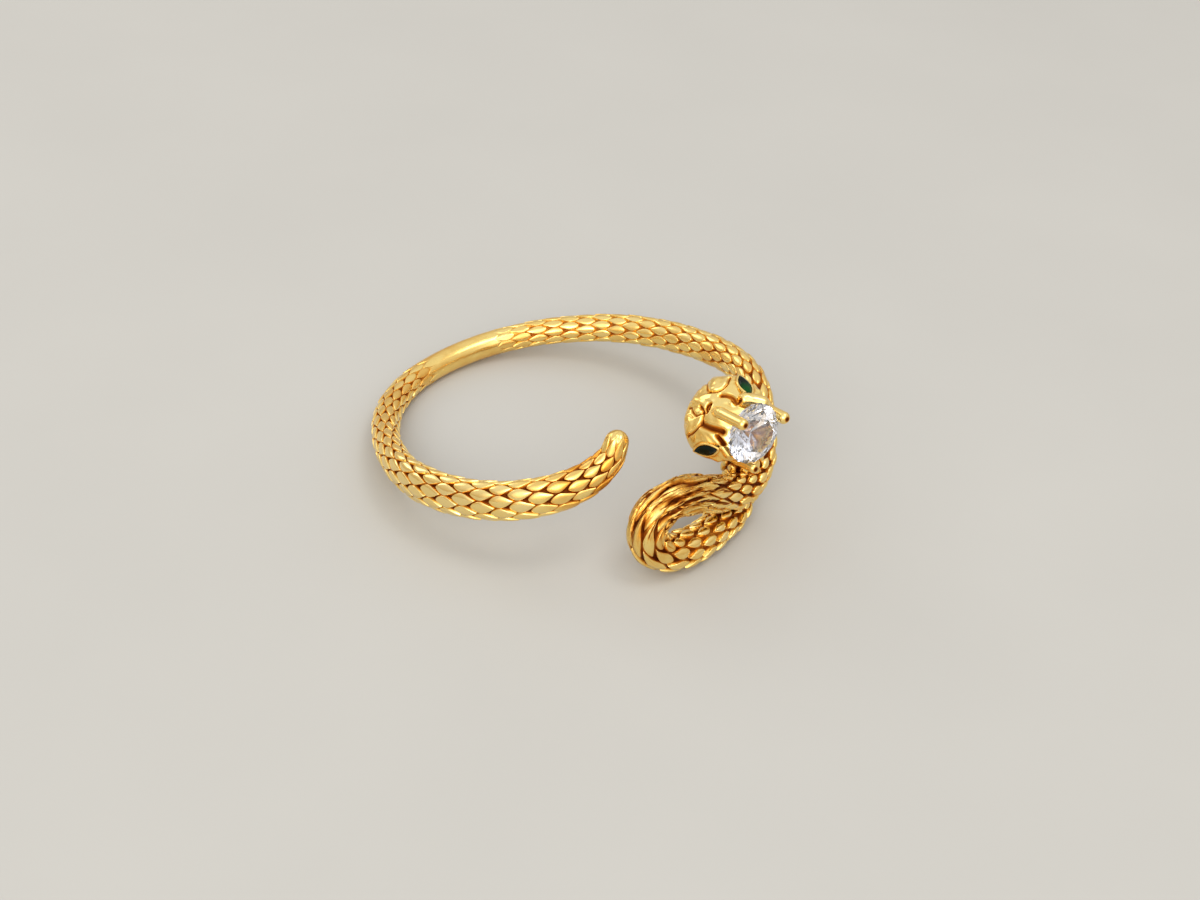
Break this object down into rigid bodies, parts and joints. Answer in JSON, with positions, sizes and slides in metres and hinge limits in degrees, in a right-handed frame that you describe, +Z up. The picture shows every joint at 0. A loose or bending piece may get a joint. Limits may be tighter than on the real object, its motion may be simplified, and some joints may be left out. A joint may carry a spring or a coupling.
{
  "type": "snake ring",
  "caption": "Open gold ring formed as a scaled snake that loops at the front, with a raised head that holds a round clear stone in prongs and has green eye stones.",
  "frame": {"origin": "middle of the ring's outer box, on the surface that the ring rests on", "axes": "+Z up, -Y towards the ring's open front, +X towards the side that carries the head and the loop"},
  "size_m": [0.0206, 0.0206, 0.0093],
  "materials": {
    "gold": "polished gold plate with darkened recesses",
    "clear_stone": "polished facets",
    "green_stone": "polished facets"
  },
  "bodies": {
    "root": {"snake_casting": "gold", "clear_stone": "clear_stone", "left_eye_stone": "green_stone", "right_eye_stone": "green_stone"}
  },
  "joints": []
}
